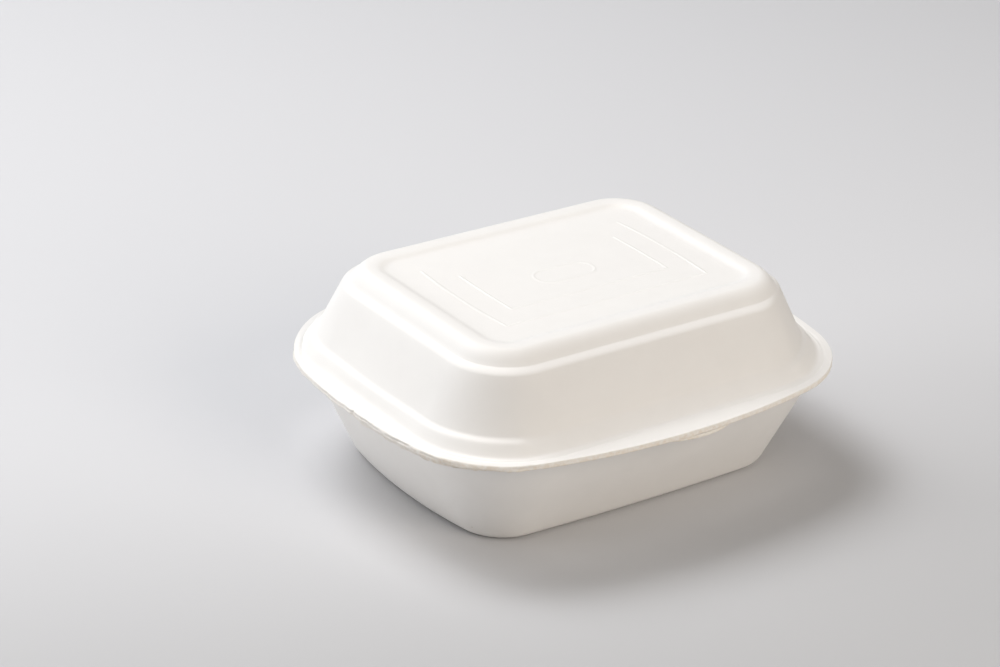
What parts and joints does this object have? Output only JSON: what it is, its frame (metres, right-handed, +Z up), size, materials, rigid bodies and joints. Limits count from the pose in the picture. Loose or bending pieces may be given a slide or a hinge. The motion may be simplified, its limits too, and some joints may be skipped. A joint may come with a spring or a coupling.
{
  "type": "clamshell food container",
  "caption": "White moulded clamshell food container: a deep tray and a domed lid joined by a fold along the back, with a flat trimmed rim and a thumb tab.",
  "frame": {"origin": "middle of the tray's flat base, on the floor", "axes": "+X along the long sides, -Y towards the opening edge, +Y towards the fold, +Z up"},
  "size_m": [0.1886, 0.1566, 0.0752],
  "materials": {
    "moulded_white": "matt white, smooth from the mould"
  },
  "bodies": {
    "tray": {"tray": "moulded_white", "hinge_fold": "moulded_white"},
    "lid": {"lid": "moulded_white"}
  },
  "joints": [
    {"name": "lid_hinge", "type": "hinge", "parent": "tray", "child": "lid", "pos_m": [0, 0.07495, 0.0415], "axis": [-1, 0, 0], "range_deg": [0, 180], "deforming": ["hinge_fold"]}
  ]
}
